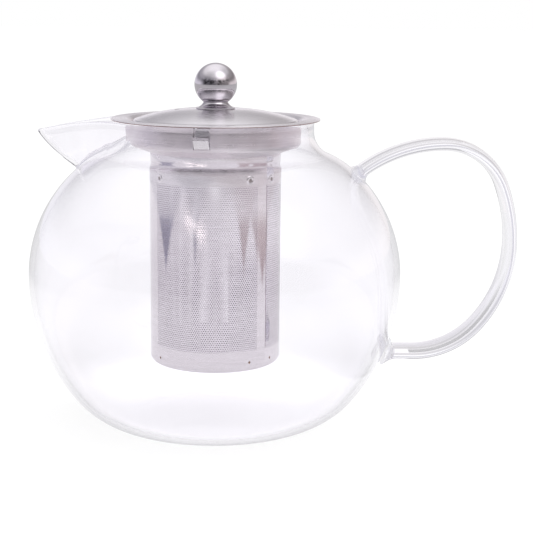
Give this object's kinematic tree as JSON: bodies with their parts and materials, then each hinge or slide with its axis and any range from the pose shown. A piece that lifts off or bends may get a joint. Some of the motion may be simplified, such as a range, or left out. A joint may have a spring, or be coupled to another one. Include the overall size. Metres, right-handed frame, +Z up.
{
  "type": "teapot",
  "caption": "Round glass teapot with a pulled beak spout and strap handle, a lift-out steel infuser basket in its neck and a domed steel lid with a ball knob.",
  "frame": {"origin": "on the pot's vertical axis, in the plane that the base rests on", "axes": "+Z up along the pot's axis, +X towards the handle, -X towards the beak spout"},
  "size_m": [0.2119, 0.1616, 0.1581],
  "materials": {
    "clear_glass": "clear blown glass, fire-polished rim",
    "satin_steel": "satin brushed stainless steel",
    "etched_steel": "bright stainless sheet with etched holes",
    "polished_steel": "mirror-polished stainless steel"
  },
  "bodies": {
    "pot": {"glass_bowl": "clear_glass", "glass_shoulder": "clear_glass", "glass_handle": "clear_glass"},
    "infuser": {"infuser_collar": "satin_steel", "infuser_basket": "etched_steel", "infuser_base": "etched_steel"},
    "lid": {"lid_cover": "satin_steel", "knob_foot": "polished_steel", "knob_ball": "polished_steel", "knob_washer": "satin_steel", "knob_screw": "satin_steel"}
  },
  "joints": [
    {"name": "infuser_lift", "type": "slide", "parent": "pot", "child": "infuser", "axis": [0, 0, 1], "range_m": [0, 0.15]},
    {"name": "lid_lift", "type": "slide", "parent": "infuser", "child": "lid", "axis": [0, 0, 1], "range_m": [0, 0.06]}
  ]
}
